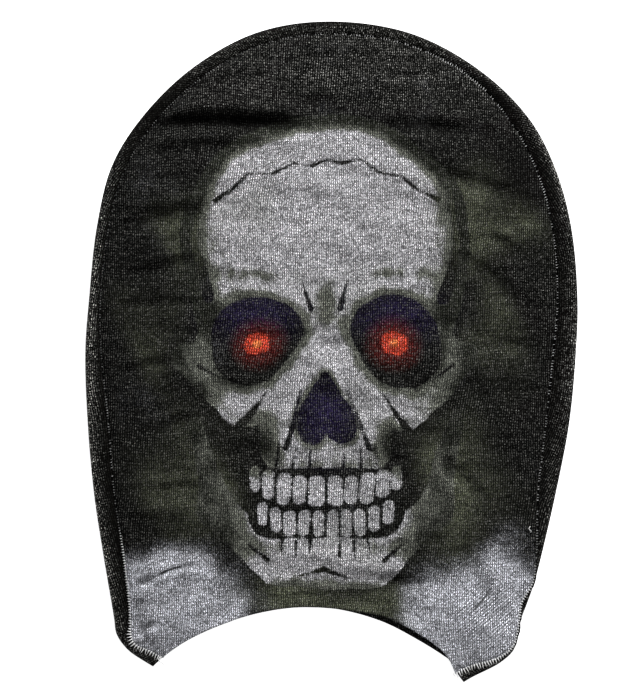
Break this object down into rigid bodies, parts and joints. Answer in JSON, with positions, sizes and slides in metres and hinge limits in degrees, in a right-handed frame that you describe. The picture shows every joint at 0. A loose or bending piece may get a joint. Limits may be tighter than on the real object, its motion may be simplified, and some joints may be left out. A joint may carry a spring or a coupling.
{
  "type": "pull-over knitted hood mask",
  "caption": "Stretch-knit pull-over hood mask lying flat: printed front panel and plain dark back panel joined by an overlocked seam, open at the neck.",
  "frame": {"origin": "middle of the footprint, on the floor that the mask lies on", "axes": "+Z is the printed face side, up; +Y runs from the neck opening to the crown; +X is the right of someone looking at the face"},
  "size_m": [0.2511, 0.337, 0.0139],
  "materials": {
    "printed_knit": "matte printed stretch knit",
    "dark_knit": "matte black stretch knit",
    "seam_thread": "matte overlock thread"
  },
  "bodies": {
    "root": {"front_panel": "printed_knit", "back_panel": "dark_knit", "overlock_seam": "seam_thread"}
  },
  "joints": []
}
